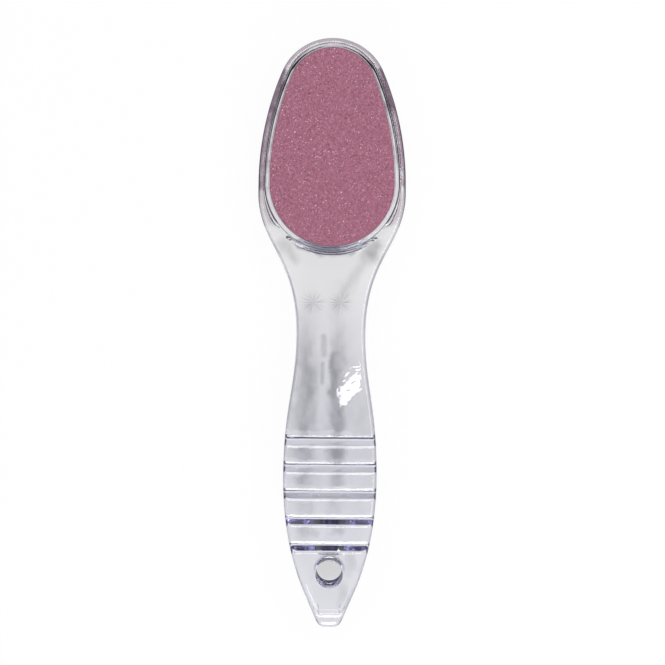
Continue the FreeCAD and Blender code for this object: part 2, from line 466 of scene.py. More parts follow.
print("half thickness", [round(eased(y, swell), 2) for y in (60, 0, grip_y, tail_y, tip_y)])

# %% Height rule
full_hollow, least_hollow = 1.5, 0.18
hollow_end, hollow_fade = math.radians(66), math.radians(26)


def hollow_size(x, y):
    """Radius of the hollow at the foot of the head."""
    turn = abs(math.atan2(x, widest_y - y))
    share = min(max((hollow_end - turn) / hollow_fade, 0.0), 1.0)
    return least_hollow + (full_hollow - least_hollow) * share * share * (3 - 2 * share)


def top_height(x, y):
    radius = barrel_radius(y)
    height = eased(y, swell) - radius + math.sqrt(radius ** 2 - x * x)
    away = math.hypot(x, y - widest_y) - low_radius - foot_offset
    hollow = hollow_size(x, y)
    if y < widest_y and away < hollow:
        inward = hollow - max(away, 0.0)
        height += hollow - math.sqrt(max(hollow ** 2 - inward ** 2, 0.0))
    return height


print("heights across the grip", [round(top_height(x, grip_y), 2) for x in (0, 8, 16)])

# %% [markdown]
# ## Head
# The head is a raised plateau with a lip round a shallow seat. A subdivided cage could give it, but
# it would blur the lip. Rings of the same egg follow it closely: out from the seat floor, up the
# wall of the seat, over the rounded lip and down to the foot of the plateau.

# %% Store for points and faces
points = []
faces = []


def point(x, y, z):
    points.append((x, y, z))
    return len(points) - 1


def bridge(line_a, line_b, closed=False):
    """Quads between two lines of equally many points."""
    count = len(line_a)
    for i in range(count if closed else count - 1):
        j = (i + 1) % count
        faces.append((line_a[i], line_a[j], line_b[j], line_b[i]))


def weave(lines, closed=False):
    """Quads between each line and the next."""
    for line_a, line_b in zip(lines, lines[1:]):
        bridge(line_a, line_b, closed)


def arc(centre_d, centre_z, radius, start, end, steps):
    """Points (d, z) along an arc; angles in degrees from the outward direction."""
    return [(centre_d + radius * math.cos(math.radians(a)), centre_z + radius * math.sin(math.radians(a)))
            for a in np.linspace(start, end, steps + 1)]


print("store is empty:", len(points), "points")

# %% Rings over the lip
low_steps = 96
facings = egg_facings(low_steps, 40, 56)
lip_inner, lip_outer = 0.12, 0.3
bond = 0.03
seat_floor = seat_half + bond
profile = [(seat_gap - inset, seat_floor) for inset in (1.2, 0.3, 0.05)] + [(seat_gap, seat_floor + 0.05)]
profile += arc(seat_gap + lip_inner, plateau_half - lip_inner, lip_inner, 180, 90, 4)
profile += [(seat_gap + lip_width * share, plateau_half) for share in (0.3, 0.55)]
profile += arc(lip_offset - lip_outer, plateau_half - lip_outer, lip_outer, 90, 10, 6)
head_rings = [[point(*egg_point(f, d), z) for f in facings] for d, z in profile]
lip_end_d, lip_end_z = profile[-1]
for share in (0.4, 0.75, 1.0):
    ring = []
    for f in facings:
        x, y = egg_point(f, foot_offset)
        foot_z = top_height(x, y) if y < widest_y else slab_half + least_hollow
        px, py = egg_point(f, lip_end_d + (foot_offset - lip_end_d) * share)
        ring.append(point(px, py, lip_end_z + (foot_z - lip_end_z) * share))
    head_rings.append(ring)
weave(head_rings, closed=True)
foot_ring = head_rings[-1]
print("head rings", len(head_rings), "points each", len(facings))

# %% Floor of the seat
seat_middle_y = (pad_top_y + pad_foot_y) / 2
last = head_rings[0]
for share in (0.8, 0.55, 0.25):
    ring = []
    for f in facings:
        x, y = egg_point(f, profile[0][0])
        ring.append(point(x * share, seat_middle_y + (y - seat_middle_y) * share, seat_floor))
    bridge(ring, last, closed=True)
    last = ring
pole = point(0.0, seat_middle_y, seat_floor)
for i in range(len(last)):
    faces.append((pole, last[i], last[(i + 1) % len(last)]))
print("seat closed at y", round(seat_middle_y, 2), "faces so far", len(faces))

# %% [markdown]
# ## Rounded edge
# A moulding's edge is rounded all the way along. A Bevel modifier could do that, but it would break
# the layout of rows that the rest of the mesh needs. Columns of points roll instead from the top face
# down to the middle plane, with one radius everywhere, and each column ends on the outline.

# %% One column of the edge
arc_steps = 9
wall_steps = 2
column_depth = arc_steps + wall_steps + 1


def flank(x, y, nx, ny):
    """Column of points on the rounded edge below the outline point (x, y) that faces (nx, ny)."""
    tilt, step = 0.0, 0.05
    for _ in range(6):
        inset = edge_round * (1 - math.sin(tilt))
        inner = top_height(x - nx * (inset + step), y - ny * (inset + step))
        outer = top_height(x - nx * (inset - step), y - ny * (inset - step))
        tilt = math.atan((inner - outer) / (2 * step))
    inset = edge_round * (1 - math.sin(tilt))
    centre_z = top_height(x - nx * inset, y - ny * inset) - edge_round * math.cos(tilt)
    column = []
    for a in np.linspace(math.pi / 2 - tilt, 0.0, arc_steps + 1):
        inset = edge_round * (1 - math.cos(a))
        column.append((x - nx * inset, y - ny * inset, centre_z + edge_round * math.sin(a)))
    for share in np.linspace(1, 0, wall_steps + 1)[1:]:
        column.append((x, y, centre_z * share))
    return column


def outline_hit(facing):
    """Distance from the head's lower centre to the outline in this direction."""
    near, far = low_radius, low_radius + 12
    for _ in range(40):
        halfway = (near + far) / 2
        x, y = halfway * math.cos(facing), widest_y + halfway * math.sin(facing)
        if x < half_width(y):
            near = halfway
        else:
            far = halfway
    return near


print("points in a column", len(flank(half_width(0), 0, *outward(0))))

# %% Columns round the head
opening = math.radians(60)
start_index = int(round(low_steps * (math.pi / 2 + opening) / math.pi))
neck_indices = list(range(low_steps - start_index, start_index + 1))
head_indices = list(range(start_index, len(facings))) + list(range(0, low_steps - start_index + 1))
head_columns = []
for i in head_indices:
    f = facings[i]
    turn = f % (2 * math.pi)
    if turn < math.pi + 1e-6:
        x, y = egg_point(f, outline_offset)
        column = flank(x, y, math.cos(f), math.sin(f))
    else:
        on_right = turn > 1.5 * math.pi
        right_facing = turn if on_right else 3 * math.pi - turn
        distance = outline_hit(right_facing)
        x, y = distance * math.cos(right_facing), widest_y + distance * math.sin(right_facing)
        sign = 1 if on_right else -1
        column = [(sign * px, py, pz) for px, py, pz in flank(x, y, *outward(y))]
    head_columns.append([foot_ring[i]] + [point(*p) for p in column])
weave(head_columns)
right_start, left_start = head_columns[0], head_columns[-1]
start_y = points[right_start[-1]][1]
print("head columns", len(head_columns), "outline at the neck opening y", round(start_y, 2))

# %% [markdown]
# ## Neck, grip and tail
# From the foot of the head down to the tip the body is a grid of rows. A coarse grid with a
# Subdivision Surface would be shorter, but it can't put its rows where they are needed. These crowd
# at the foot of the head and in the grooves, where the surface turns quickly. The first ones bend
# round the head and straighten towards the neck.

# %% Where the rows lie
columns = len(neck_indices) - 1
bend_end_y = 4.0
near_share, far_share = 0.085, 0.915
crowded = np.linspace(0, near_share, 14)[1:]
bend = np.concatenate([crowded, near_share + far_share * np.linspace(0, 1, 26)[1:] ** 1.15])
groove_count, groove_pitch, groove_rows = 5, 10.3, 47
last_groove_from_tip = 31.55
last_groove_y = tip_y + last_groove_from_tip
groove_y = [last_groove_y + groove_pitch * k for k in range(groove_count)]
head_reach, tail_reach = 3.0, 3.5
straight_rows = list(np.linspace(bend_end_y, groove_y[-1] + head_reach, 38)[1:-1])
for y in reversed(groove_y):
    straight_rows += list(np.linspace(y + head_reach, y - tail_reach, groove_rows))
    land = np.linspace(y - tail_reach, y - groove_pitch + head_reach, 5)
    straight_rows += list(land[1:-1]) if y > groove_y[0] else []
above_hole, below_hole, tail_rows = 6.6, 7.0, 7
hole_rows = list(np.linspace(hole_y + above_hole, hole_y - below_hole, 19))
straight_rows += [(straight_rows[-1] + hole_rows[0]) / 2] + hole_rows
straight_rows += list(np.linspace(hole_rows[-1], tail_y + 0.6, tail_rows + 1)[1:])
least_step = -max(np.diff(straight_rows))
print("rows", len(bend) + len(straight_rows), "columns", columns, "least step", round(least_step, 3))

# %% Build the rows
edge_gap = 0.2


def place_row(top_line, left_column, right_column):
    top = [point(x, y, top_height(x, y)) for x, y in top_line]
    left = [point(*p) for p in left_column]
    right = [point(*p) for p in right_column]
    return left[::-1] + top + right


def side_columns(y):
    """Left and right edge columns at y, and where the top face's row ends on the right."""
    right = flank(half_width(y), y, *outward(y))
    left = [(-px, py, pz) for px, py, pz in right]
    return left, right, right[0][0] - edge_gap, right[0][1]


angles = np.linspace(-opening, opening, columns + 1)
arc_x = np.sin(angles) / math.sin(opening)
arc_y = (np.cos(angles) - math.cos(opening)) / (1 - math.cos(opening))
even_x = np.linspace(-1, 1, columns + 1)
rows = [left_start[:0:-1] + [foot_ring[i] for i in neck_indices] + right_start[1:]]
first_middle_y = points[foot_ring[low_steps // 2]][1]
for share in bend:
    left, right, inner_x, inner_y = side_columns(start_y + (bend_end_y - start_y) * share)
    middle_y = first_middle_y + (bend_end_y - first_middle_y) * share
    straightened = share * share * (3 - 2 * share)
    x_line = (arc_x * (1 - straightened) + even_x * straightened) * inner_x
    y_line = inner_y + (middle_y - inner_y) * arc_y
    rows.append(place_row(list(zip(x_line, y_line)), left, right))
for y in straight_rows:
    left, right, inner_x, inner_y = side_columns(y)
    y_line = y + (inner_y - y) * np.abs(even_x) ** 6
    rows.append(place_row(list(zip(even_x * inner_x, y_line)), left, right))
hole_last = len(rows) - 1 - tail_rows
print("rows built", len(rows))

# %% [markdown]
# ## Tip
# The tip is blunt, with rounded corners. Straight rows would leave a jagged end, so the last rows
# bend step by step until they follow the tip's outline, and edge columns close it.

# %% Columns round the tip
bend_from_tip = 4.6
tail_end_y = tip_y + bend_from_tip
half_columns = columns // 2


def steps_of(line):
    return np.linalg.norm(np.diff(line, axis=0), axis=1)


tip_side = side_line[side_line[:, 1] <= tail_end_y]
tip_flat_line = np.array([(x, tip_y) for x in np.linspace(tip_x, 0, 21)])
tip_line = np.vstack([[(half_width(tail_end_y), tail_end_y)], tip_side, corner[1:], tip_flat_line[1:]])
tip_line = tip_line[np.concatenate([[True], steps_of(tip_line) > 1e-6])]
run = np.concatenate([[0], np.cumsum(steps_of(tip_line))])
tangent = np.gradient(tip_line, run, axis=0)
tip_right = []
for s in np.linspace(0, run[-1], half_columns + 1):
    x, y = (float(np.interp(s, run, tip_line[:, axis])) for axis in (0, 1))
    tx, ty = (float(np.interp(s, run, tangent[:, axis])) for axis in (0, 1))
    size = math.hypot(tx, ty)
    nx, ny = -ty / size, tx / size
    if s == run[-1]:
        x, nx, ny = 0.0, 0.0, -1.0
    tip_right.append(flank(x, y, nx, ny))
print("tip outline", round(float(run[-1]), 2), "mm each side")

# %% Rows that bend to the tip
morph_rows, top_gap = 16, 0.15
inner_right = []
for column in tip_right:
    (x0, y0, _), (x1, y1, _) = column[0], column[-1]
    size = math.hypot(x1 - x0, y1 - y0)
    inner_right.append((x0 - top_gap * (x1 - x0) / size, y0 - top_gap * (y1 - y0) / size))
tip_top = np.array([(-x, y) for x, y in inner_right] + inner_right[-2::-1])
start_line = np.array([points[i][:2] for i in rows[-1][column_depth:-column_depth]])
tail_start_y = straight_rows[-1]
for k in range(1, morph_rows + 1):
    share = k / morph_rows
    left, right, inner_x, inner_y = side_columns(tail_start_y + (tail_end_y - tail_start_y) * share)
    line = start_line * (1 - share) + tip_top * share
    line[0], line[-1] = (-inner_x, inner_y), (inner_x, inner_y)
    if k == morph_rows:
        right = tip_right[0]
        left = [(-x, y, z) for x, y, z in right]
    rows.append(place_row([tuple(p) for p in line], left, right))
weave(rows)
print("rows with the tip", len(rows))

# %% Close the tip
last_row = rows[-1]
tip_columns = [[last_row[column_depth]] + last_row[:column_depth][::-1]]
for i in range(1, columns):
    on_left = i < half_columns
    column = tip_right[i] if on_left else tip_right[columns - i]
    sign = -1 if on_left else 1
    tip_columns.append([last_row[column_depth + i]] + [point(sign * x, y, z) for x, y, z in column])
tip_columns.append([last_row[-column_depth - 1]] + last_row[-column_depth:])
weave(tip_columns)
print("points", len(points), "faces", len(faces))

# %% [markdown]
# ## Hanging hole
# The file hangs on a hook by a round hole with a rounded mouth. A Boolean could cut it, but it leaves
# long thin triangles, which show in clear plastic. So a block of the grid is taken out, and its
# border is joined to circles that follow the top face, roll over the mouth and run down the wall.

# %% Take a block out of the rows
block_rows = list(range(hole_last - len(hole_rows) + 1, hole_last + 1))
block_share = 0.37
block_half = int(columns * block_share)
middle_column = column_depth + columns // 2
low_column, high_column = middle_column - block_half, middle_column + block_half
inside = set()
for r in block_rows:
    inside.update(rows[r][low_column:high_column + 1])
border = [rows[block_rows[0]][c] for c in range(low_column, high_column)]
border += [rows[r][high_column] for r in block_rows[:-1]]
border += [rows[block_rows[-1]][c] for c in range(high_column, low_column, -1)]
border += [rows[r][low_column] for r in reversed(block_rows[1:])]
faces = [face for face in faces if not all(i in inside for i in face)]
print("hole border", len(border), "points")

# %% Circles down the hole
border_places = [points[i] for i in border]
hole_angles = [math.atan2(y - hole_y, x) for x, y, _ in border_places]
mouth = hole_radius + hole_round
wall_top = 5.2
rings = []
for share in (0.3, 0.55, 0.75, 0.9, 1.0):
    ring = []
    for (bx, by, _), a in zip(border_places, hole_angles):
        x = bx + (mouth * math.cos(a) - bx) * share
        y = by + (hole_y + mouth * math.sin(a) - by) * share
        ring.append(point(x, y, top_height(x, y)))
    rings.append(ring)
for roll in np.radians(np.linspace(0, 90, 7)[1:]):
    ring = []
    distance, drop = mouth - hole_round * math.sin(roll), hole_round * (1 - math.cos(roll))
    for a in hole_angles:
        edge_z = top_height(mouth * math.cos(a), hole_y + mouth * math.sin(a))
        ring.append(point(distance * math.cos(a), hole_y + distance * math.sin(a), edge_z - drop))
    rings.append(ring)
for share in (0.66, 0.33, 0.0):
    rings.append([point(points[i][0], points[i][1], share * wall_top) for i in rings[-1]])
weave([border] + rings, closed=True)
print("hole rings", len(rings))

# %% [markdown]
# ## Both halves
# Before the grooves are cut, the moulding is the same above and below its middle plane. A Mirror
# modifier could double it, but the points are at hand, so they are copied with the height turned
# over and merged on the plane. The whole is a hair smaller than the solid, to stay inside its box.


# %% Mirror the half and make the body
def mesh_from(name, point_list, face_list):
    """Mesh with merged points and normals that face outwards."""
    mesh = bpy.data.meshes.new(name)
    mesh.from_pydata(point_list, [], face_list)
    builder = bmesh.new()
    builder.from_mesh(mesh)
    bmesh.ops.remove_doubles(builder, verts=builder.verts, dist=1e-7)
    loose = [v for v in builder.verts if not v.link_faces]
    bmesh.ops.delete(builder, geom=loose, context="VERTS")
    bmesh.ops.recalc_face_normals(builder, faces=builder.faces)
    for face in builder.faces:
        face.smooth = True
    builder.to_mesh(mesh)
    open_edges = sum(1 for e in builder.edges if len(e.link_faces) != 2)
    builder.free()
    print(name, "faces", len(mesh.polygons), "open edges", open_edges)
    return mesh


flat_scale, height_scale = mm * 0.9996, mm * 0.998
upper = [(x * flat_scale, y * flat_scale, middle_z + z * height_scale) for x, y, z in points]
lower = [(x, y, 2 * middle_z - z) for x, y, z in upper]
shift = len(points)
both_faces = faces + [tuple(i + shift for i in reversed(face)) for face in faces]
clear_body = placed("clear_body", mesh_from("clear_body", upper + lower, both_faces))

# %% [markdown]
# ## Grip ribs
# The ribs of the grip are the lands between five grooves that cross both faces and follow their
# crown: shallow ones with a flat floor on the front, saw teeth with a long ramp on the rear. They
# could be cut one by one, but they obey one rule: the surface may not stand higher than the groove's
# floor plus the rise of its walls. Geometry Nodes state that rule once, with named sizes, and a
# smooth minimum rounds the edges as a mould does. The front walls are a little less steep than the
# solid's, so that they catch the strips' light.


# %% Start, store and end a tree
def new_tree(name, sizes):
    """Tree with one input for each named size."""
    tree = bpy.data.node_groups.new(name, "GeometryNodeTree")
    tree.interface.new_socket("Geometry", in_out="INPUT", socket_type="NodeSocketGeometry")
    for label, value in sizes.items():
        kind = "NodeSocketInt" if isinstance(value, int) else "NodeSocketFloat"
        tree.interface.new_socket(label, in_out="INPUT", socket_type=kind)
    tree.interface.new_socket("Geometry", in_out="OUTPUT", socket_type="NodeSocketGeometry")
    return tree, add_node(tree, "NodeGroupInput").outputs


def keep_value(tree, geometry, name, value, domain):
    """Stores a number on every point or copy, for the material to read."""
    store = add_node(tree, "GeometryNodeStoreNamedAttribute", data_type="FLOAT", domain=domain)
    return fill(tree, store, Name=name, Geometry=geometry, Value=value).outputs["Geometry"]


def end_tree(tree, geometry, material):
    whole = put(tree, "GeometryNodeRealizeInstances", Geometry=geometry)
    paint = put(tree, "GeometryNodeSetMaterial", Geometry=whole.outputs[0], Material=material)
    feed(tree, add_node(tree, "NodeGroupOutput").inputs[0], paint.outputs[0])
    return tree


def made_by_nodes(carrier, tree, name, sizes):
    """Runs a tree on the carrier with these sizes and returns the result as a plain object."""
    modifier = carrier.modifiers.new("shape", "NODES")
    modifier.node_group = tree
    for item in tree.interface.items_tree:
        if item.in_out == "INPUT" and item.name in sizes:
            modifier[item.identifier] = sizes[item.name]
    shaped = carrier.evaluated_get(bpy.context.evaluated_depsgraph_get())
    mesh = bpy.data.meshes.new_from_object(shaped)
    carrier.modifiers.remove(modifier)
    bpy.data.objects.remove(carrier)
    mesh.name = name
    return placed(name, mesh)


print("helpers: new_tree, keep_value, end_tree, made_by_nodes")

# %% Groove sizes
groove_sizes = {
    "Lowest groove": last_groove_y * mm, "Pitch": groove_pitch * mm, "Count": float(groove_count),
    "Middle": middle_z, "Half grip width": grip_x * mm}
for face_name, floor_width, depth, head_run, tail_run, rounding in (
        ("Front", 3.3, 0.5, 0.95, 0.95, 0.08), ("Rear", 0.4, 1.95, 1.0, 3.0, 0.2)):
    groove_sizes[face_name + " floor half"] = floor_width / 2 * mm
    groove_sizes[face_name + " depth"] = depth * mm
    groove_sizes[face_name + " round"] = rounding * mm
    groove_sizes[face_name + " head slope"] = depth / head_run
    groove_sizes[face_name + " tail slope"] = depth / tail_run
station_y = (pad_foot_y - foot_offset, grip_y, tail_y)
for station, y, half, fall in zip(("Shoulder", "Grip", "Tail"), station_y, swell, crowns):
    groove_sizes[station + " line"] = y * mm
    groove_sizes[station + " half"] = half * mm
    groove_sizes[station + " crown"] = fall * mm
print("groove sizes", len(groove_sizes))


# %% Groove tree
def groove_tree(material):
    tree, given = new_tree("grip_grooves", groove_sizes)
    place = parts(tree, add_node(tree, "GeometryNodeInputPosition").outputs[0])
    height = minus(tree, place["Z"], given["Middle"])
    on_front = calc(tree, "GREATER_THAN", height, 0.0)

    def of_face(name):
        return map_range(tree, on_front, (0.0, 1.0), (given["Rear " + name], given["Front " + name]))

    number = calc(tree, "DIVIDE", minus(tree, place["Y"], given["Lowest groove"]), given["Pitch"])
    number = larger(tree, calc(tree, "ROUND", number), 0.0)
    number = smaller(tree, number, minus(tree, given["Count"], 1.0))
    centre = calc(tree, "MULTIPLY_ADD", number, given["Pitch"], given["Lowest groove"])
    away = minus(tree, place["Y"], centre)
    floor_half, rounding = of_face("floor half"), of_face("round")
    head_wall = times(tree, minus(tree, away, floor_half), of_face("head slope"))
    tail_wall = times(tree, calc(tree, "ADD", away, floor_half), of_face("tail slope"))
    rise = larger(tree, head_wall, times(tree, tail_wall, -1.0))
    rise = calc(tree, "SMOOTH_MAX", rise, 0.0, rounding)

    def at_centre(name):
        lines = [given[label + " line"] for label in ("Shoulder", "Grip", "Tail")]
        values = [given[label + " " + name] for label in ("Shoulder", "Grip", "Tail")]
        above = map_range(tree, centre, lines[:2], values[:2], "SMOOTHSTEP")
        below = map_range(tree, centre, lines[1:], values[1:], "SMOOTHSTEP")
        return smaller(tree, above, below)

    across = calc(tree, "DIVIDE", place["X"], given["Half grip width"])
    fall = times(tree, times(tree, across, across), at_centre("crown"))
    floor_height = minus(tree, minus(tree, at_centre("half"), fall), of_face("depth"))
    limit = calc(tree, "ADD", floor_height, rise)
    lowered = calc(tree, "SMOOTH_MIN", calc(tree, "ABSOLUTE", height), limit, rounding)
    lowered = times(tree, lowered, calc(tree, "SIGN", height))
    lowered = calc(tree, "ADD", lowered, given["Middle"])
    moved = put(tree, "ShaderNodeCombineXYZ", X=place["X"], Y=place["Y"], Z=lowered)
    # The steepness is kept for the plastic's material, which paints shade on steep faces.
    facing = parts(tree, add_node(tree, "GeometryNodeInputNormal").outputs[0])
    steep = minus(tree, 1.0, calc(tree, "ABSOLUTE", facing["Z"]))
    kept = keep_value(tree, given["Geometry"], "steep", steep, "POINT")
    cut = put(tree, "GeometryNodeSetPosition", Geometry=kept, Position=moved.outputs[0])
    return end_tree(tree, cut.outputs[0], material)


print("groove tree ready for", groove_count, "grooves on each face")

# %% [markdown]
# ## Clear plastic
# The plastic is clear styrene: glossy, strongly bending, with a trace of violet toner that shows
# where light runs a long way inside. That tint is put in the volume. A plain glass shader would be
# too clean, though. The shade and reflections that the surroundings give the moulding aren't known,
# so soft masks on Object coordinates paint them into the surface colour, which tints all light that
# crosses it. They are painted shade in dark streaks and patches, a painted reflection of the mauve
# pad on the rim, and painted shade on the rounded edges. Dark rays round two points are painted too.


# %% Soft masks
def soft_band(tree, value, centre, half):
    """One at the centre, falling softly to nought at half on either side."""
    away = calc(tree, "ABSOLUTE", minus(tree, value, centre * mm))
    return map_range(tree, away, (0.0, half * mm), (1.0, 0.0), "SMOOTHERSTEP")


def mark(tree, where, start, end, half):
    """One on the line from start to end, falling softly to nought at half beside it."""
    run_x, run_y = (end[0] - start[0]) * mm, (end[1] - start[1]) * mm
    along = (run_x, run_y, 0.0)
    offset = (-start[0] * mm, -start[1] * mm, 0.0)
    flat = vector_calc(tree, "MULTIPLY_ADD", where, (1.0, 1.0, 0.0), offset)
    share = vector_calc(tree, "DOT_PRODUCT", flat, along)
    share = map_range(tree, share, (0.0, run_x ** 2 + run_y ** 2), (0.0, 1.0))
    nearest = scaled(tree, along, share)
    away = vector_calc(tree, "DISTANCE", flat, nearest)
    return map_range(tree, away, (0.0, half * mm), (1.0, 0.0), "SMOOTHERSTEP")


def along_egg(tree, where, line_place, angles):
    """One on a line round the head between these facings; its place is offset and half width."""
    offset, half = line_place
    stops = [egg_point(math.radians(a), offset) for a in angles]
    whole = 0.0
    for start, end in zip(stops, stops[1:]):
        whole = larger(tree, mark(tree, where, start, end, half), whole)
    return whole


def on_lands(tree, along):
    """One on the lands and elsewhere, nought in the grooves."""
    number = calc(tree, "MULTIPLY_ADD", along, 1 / (groove_pitch * mm), -last_groove_y / groove_pitch)
    number = larger(tree, calc(tree, "ROUND", number), 0.0)
    number = smaller(tree, number, groove_count - 1.0)
    centre = calc(tree, "MULTIPLY_ADD", number, groove_pitch * mm, last_groove_y * mm)
    away = calc(tree, "ABSOLUTE", minus(tree, along, centre))
    return map_range(tree, away, (1.6 * mm, 2.6 * mm), (0.0, 1.0), "SMOOTHSTEP")


print("masks: soft_band, mark, along_egg, on_lands")

# %% Streaks of painted shade: start, end, half width and strength; then centres of dark rays
# Painted shade: dark streaks and patches that stand in for the shade and reflections seen through the
# plastic.
straight_shade_marks = [((-2.9, -2.0), (-2.7, -9.0), 2.0, 0.5), ((-3.1, -12.5), (-3.2, -20.0), 1.4, 0.35)]
wavy_shade_marks = [
    ((0.9, -9.0), (1.6, -24.0), 2.8, 0.25), ((-9.0, -2.0), (-8.5, -16.0), 5.0, 0.08),
    ((17.6, 34.0), (15.0, 30.0), 4.6, 0.75), ((14.0, 29.0), (5.6, 16.0), 4.2, 0.28),
    ((-19.0, 34.0), (-15.0, 29.0), 4.0, 0.35),
    ((6.0, -101.0), (5.0, -107.0), 3.2, 0.25), ((8.2, -85.5), (8.6, -92.0), 3.6, 0.22),
    ((-10.5, -77.6), (-6.0, -77.6), 3.2, 0.28), ((0.5, -77.0), (3.5, -77.4), 2.8, 0.3)]
star_centres = [(-7.0, 11.2), (3.8, 11.2)]
star_reach, star_strength = 6.0, 0.55


def star(tree, where, x, y, half):
    """Dark rays round a point, strongest near its middle."""
    shifted = parts(tree, vector_calc(tree, "SUBTRACT", where, (x * mm, y * mm, 0.0)))
    turn = calc(tree, "ARCTAN2", shifted["Y"], shifted["X"])
    rays = add_node(tree, "ShaderNodeTexNoise", noise_dimensions="1D")
    rays = fill(tree, rays, W=turn, Scale=5.0, Detail=1.0).outputs["Fac"]
    crisp = map_range(tree, rays, (0.42, 0.62), (0.1, 1.0), "SMOOTHSTEP")
    return times(tree, crisp, mark(tree, where, (x - 0.2, y), (x + 0.2, y), half))


def wandering(tree, where):
    """The place, shifted softly to and fro, so that marks don't run straight."""
    sway = 3.5 * mm
    shift = noise(tree, where, 140.0, 3.0)["Color"]
    shift = vector_calc(tree, "MULTIPLY_ADD", shift, (2 * sway, 2 * sway, 0.0), (-sway, -sway, 0.0))
    return vector_calc(tree, "ADD", where, shift)


print("shade marks", len(straight_shade_marks) + len(wavy_shade_marks), "star centres", len(star_centres))


# %% Painted shade
def painted_shade(tree, where, bent):
    """How much painted shade greys the plastic: broad streaks on the lands, single marks and stars."""
    place = parts(tree, bent)
    stretched = put(tree, "ShaderNodeMapping", Vector=bent, Scale=(1.0, 0.4, 0.3))
    streak_noise = noise(tree, stretched.outputs[0], 190.0, 2.0)["Fac"]
    # Painted shade: two soft dark bands down the lands, where shade and reflections are seen through the
    # plastic.
    amount = larger(tree, soft_band(tree, place["X"], -9.5, 6.5), soft_band(tree, place["X"], 2.5, 5.0))
    amount = calc(tree, "MULTIPLY_ADD", amount, 0.55, 0.25)
    amount = times(tree, amount, soft_band(tree, place["Y"], -34.0, 64.0))
    amount = times(tree, amount, on_lands(tree, place["Y"]))
    for spot, marks in ((where, straight_shade_marks), (bent, wavy_shade_marks)):
        for start, end, half, strength in marks:
            amount = calc(tree, "MULTIPLY_ADD", mark(tree, spot, start, end, half), strength, amount)
    for x, y in star_centres:
        amount = calc(tree, "MULTIPLY_ADD", star(tree, where, x, y, star_reach), star_strength, amount)
    return times(tree, amount, calc(tree, "MULTIPLY_ADD", streak_noise, 2.2, -0.1))


print("smoke joins streaks, marks and stars")

# %% Painted reflection of the pad on the rim, painted shade on the edges
# Painted reflection of the pad on the rim: facing stops in degrees with a strength, deep stops, and each
# line's offset and half width; the foot line is painted shade.
rim_shares = [
    ((27, 18, 9, 0), 1.0), ((153, 162, 171, 180), 1.0), ((27, 48, 69, 90, 111, 132, 153), 0.6),
    ((180, 190, 200, 212), 0.45), ((0, -10, -20, -32), 0.45)]
deep_rims = [(25, 20, 15), (155, 160, 165)]
rim_place, deep_place, foot_place = (3.3, 3.0), (3.6, 2.8), (1.9, 2.4)
foot_line = (240, 250, 260, 270, 280, 290, 300)


def pad_reflection_masks(tree, bent, upright):
    """Where the pad's painted reflection tints the head's rim mauve, and deep mauve; both fade on upright
    walls.
    """
    rim, deep = 0.0, 0.0
    for facing_stops, share in rim_shares:
        rim = larger(tree, times(tree, along_egg(tree, bent, rim_place, facing_stops), share), rim)
    for facing_stops in deep_rims:
        deep = larger(tree, along_egg(tree, bent, deep_place, facing_stops), deep)
    return times(tree, rim, upright), times(tree, times(tree, deep, upright), 0.6)


def edge_shade_mask(tree, bent, steep, upright):
    """Where painted shade darkens rounded edges, the hole's wall, the foot of the head and slopes near the
    neck.
    """
    edge = map_range(tree, steep, (0.12, 0.6), (0.0, 0.95), "SMOOTHSTEP")
    hole = mark(tree, bent, (-0.1, hole_y), (0.1, hole_y), 9.0)
    hole = map_range(tree, hole, (0.1, 0.3), (0.0, 1.0), "SMOOTHSTEP")
    edge = times(tree, edge, larger(tree, upright, hole))
    edge = larger(tree, edge, times(tree, along_egg(tree, bent, foot_place, foot_line), 0.9))
    # Painted shade on sloping faces near the neck.
    neck = times(tree, map_range(tree, steep, (0.05, 0.4), (0.0, 1.0), "SMOOTHSTEP"), upright)
    neck = times(tree, neck, soft_band(tree, parts(tree, bent)["Y"], 16.0, 34.0))
    return larger(tree, edge, neck)


print("rim lines", len(rim_shares) + len(deep_rims))

# %% Clear plastic material
# Colours: the clear plastic, the grey of painted shade, the mauve and deep mauve of the pad's painted
# reflection, and the navy of painted edge shade; then the toner in the volume.
clear, shade_grey = (0.97, 0.97, 0.95, 1.0), (0.45, 0.45, 0.46, 1.0)
mauve, deep_mauve, edge_shade_navy = (0.38, 0.26, 0.335, 1.0), (0.16, 0.10, 0.15, 1.0), (0.23, 0.225, 0.32, 1.0)
toner, toner_density, styrene_ior = (0.63, 0.615, 0.917, 1.0), 24.0, 1.55


def blend(tree, amount, colour, target):
    mix = fill(tree, add_node(tree, "ShaderNodeMix", data_type="RGBA"), Factor=amount)
    feed(tree, mix.inputs[6], colour)
    feed(tree, mix.inputs[7], target)
    return mix.outputs[2]


def plastic_colour(tree, where):
    bent = wandering(tree, where)
    steep = add_node(tree, "ShaderNodeAttribute", attribute_name="steep").outputs["Fac"]
    upright = map_range(tree, steep, (0.5, 0.85), (1.0, 0.1), "SMOOTHSTEP")
    rim, deep_rim = pad_reflection_masks(tree, bent, upright)
    # Painted shade, the pad's painted reflection on the rim and painted edge shade tint the clear colour in
    # turn.
    colour = blend(tree, painted_shade(tree, where, bent), clear, shade_grey)
    colour = blend(tree, rim, colour, mauve)
    colour = blend(tree, deep_rim, colour, deep_mauve)
    return blend(tree, edge_shade_mask(tree, bent, steep, upright), colour, edge_shade_navy)


